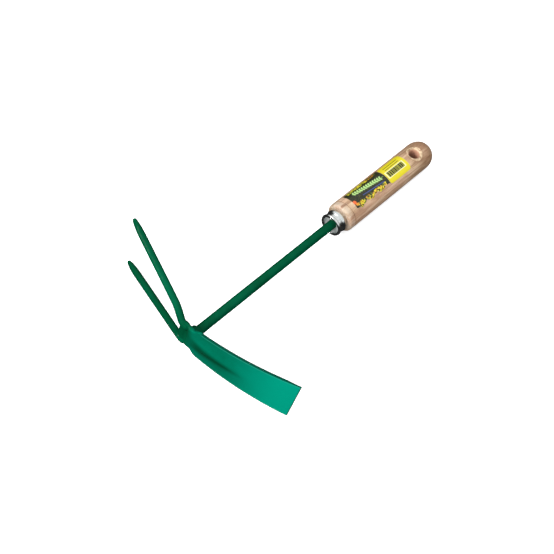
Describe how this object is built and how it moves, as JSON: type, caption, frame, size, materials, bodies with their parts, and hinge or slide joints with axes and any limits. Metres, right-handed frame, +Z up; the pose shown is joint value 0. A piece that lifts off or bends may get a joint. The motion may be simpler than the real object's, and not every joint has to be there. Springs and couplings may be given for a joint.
{
  "type": "combination hand hoe",
  "caption": "Short-handled garden hand hoe: one flared hoe blade and a pronged fork on opposite sides of a steel head, on a round shank with a turned wooden handle.",
  "frame": {"origin": "middle of the tool's footprint, on the ground it lies on", "axes": "+X along the tool from head to butt, +Y towards the tines, +Z up; the tool lies on its side, on one blade corner, one tine and the underside of the handle"},
  "size_m": [0.3392, 0.2086, 0.0743],
  "materials": {
    "blade_paint": "gloss sprayed enamel over pressed sheet steel",
    "head_paint": "gloss sprayed enamel over round bar and weld",
    "zinc": "bright zinc plate on pressed steel",
    "wood": "clear satin lacquer on turned hardwood",
    "label_dark": "gloss printed film sticker",
    "label_yellow": "gloss printed film sticker"
  },
  "bodies": {
    "root": {"blade": "blade_paint", "hub": "head_paint", "shank": "head_paint", "weld_shank": "head_paint", "tine_upper": "head_paint", "weld_tine_upper": "head_paint", "tine_lower": "head_paint", "weld_tine_lower": "head_paint", "weld_blade": "head_paint", "ferrule": "zinc", "ferrule_washer": "zinc", "handle": "wood", "label_front": "label_dark", "label_rear": "label_yellow"}
  },
  "joints": []
}
